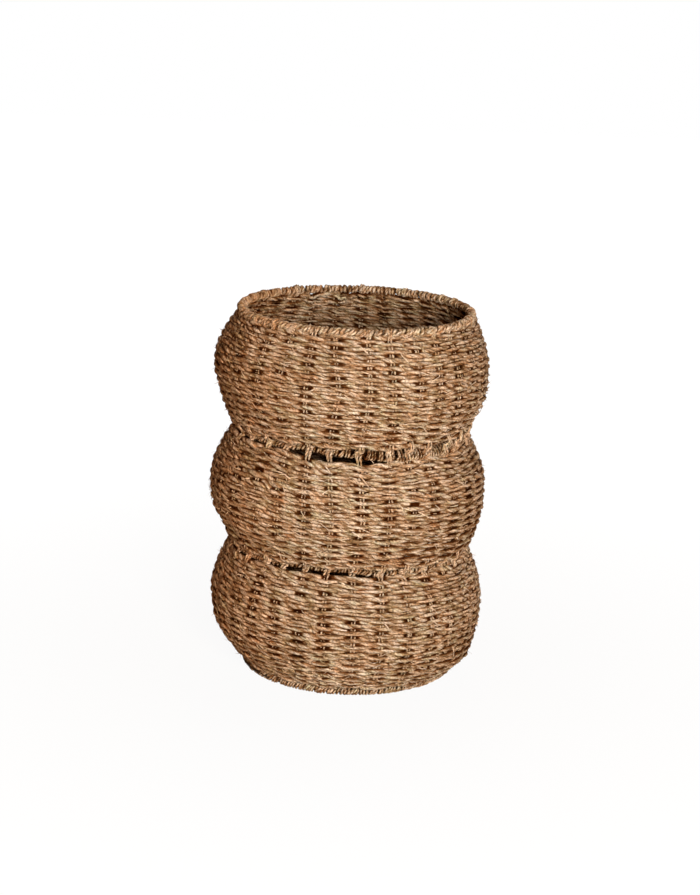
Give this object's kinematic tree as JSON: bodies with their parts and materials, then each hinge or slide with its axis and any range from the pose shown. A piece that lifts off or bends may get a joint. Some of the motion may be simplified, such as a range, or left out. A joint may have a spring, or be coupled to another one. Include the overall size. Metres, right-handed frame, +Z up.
{
  "type": "seagrass basket",
  "caption": "Tall round open basket of twisted seagrass cord, woven in three bellied tiers on stakes between cord-wrapped wire hoops, with a flat woven base.",
  "frame": {"origin": "on the floor, at the centre of the basket's underside", "axes": "+Z up along the basket's axis; -Y is the side that faces the camera in the picture, +X is to the right there"},
  "size_m": [0.3268, 0.327, 0.4421],
  "materials": {
    "woven_seagrass": "matt twisted seagrass in straw, tan and brown",
    "seagrass_cord": "matt twisted seagrass cord",
    "steel_wire": "plain drawn wire"
  },
  "bodies": {
    "root": {"upper_tier_weave": "woven_seagrass", "middle_tier_weave": "woven_seagrass", "lower_tier_weave": "woven_seagrass", "base_weave": "woven_seagrass", "rim_hoop_wrap": "seagrass_cord", "upper_waist_hoop_wrap": "seagrass_cord", "lower_waist_hoop_wrap": "seagrass_cord", "base_hoop_wrap": "seagrass_cord", "stake_pair_01": "seagrass_cord", "stake_pair_02": "seagrass_cord", "stake_pair_03": "seagrass_cord", "stake_pair_04": "seagrass_cord", "stake_pair_05": "seagrass_cord", "stake_pair_06": "seagrass_cord", "stake_pair_07": "seagrass_cord", "stake_pair_08": "seagrass_cord", "stake_pair_09": "seagrass_cord", "stake_pair_10": "seagrass_cord", "stake_pair_11": "seagrass_cord", "stake_pair_12": "seagrass_cord", "stake_pair_13": "seagrass_cord", "stake_pair_14": "seagrass_cord", "stake_pair_15": "seagrass_cord", "stake_pair_16": "seagrass_cord", "stake_pair_17": "seagrass_cord", "stake_pair_18": "seagrass_cord", "stake_pair_19": "seagrass_cord", "stake_pair_20": "seagrass_cord", "stake_pair_21": "seagrass_cord", "stake_pair_22": "seagrass_cord", "stake_pair_23": "seagrass_cord", "stake_pair_24": "seagrass_cord", "stake_pair_25": "seagrass_cord", "stake_pair_26": "seagrass_cord", "stake_pair_27": "seagrass_cord", "stake_pair_28": "seagrass_cord", "stake_pair_29": "seagrass_cord", "stake_pair_30": "seagrass_cord", "stake_pair_31": "seagrass_cord", "rim_hoop_wire": "steel_wire", "upper_waist_hoop_wire": "steel_wire", "lower_waist_hoop_wire": "steel_wire", "base_hoop_wire": "steel_wire"}
  },
  "joints": []
}
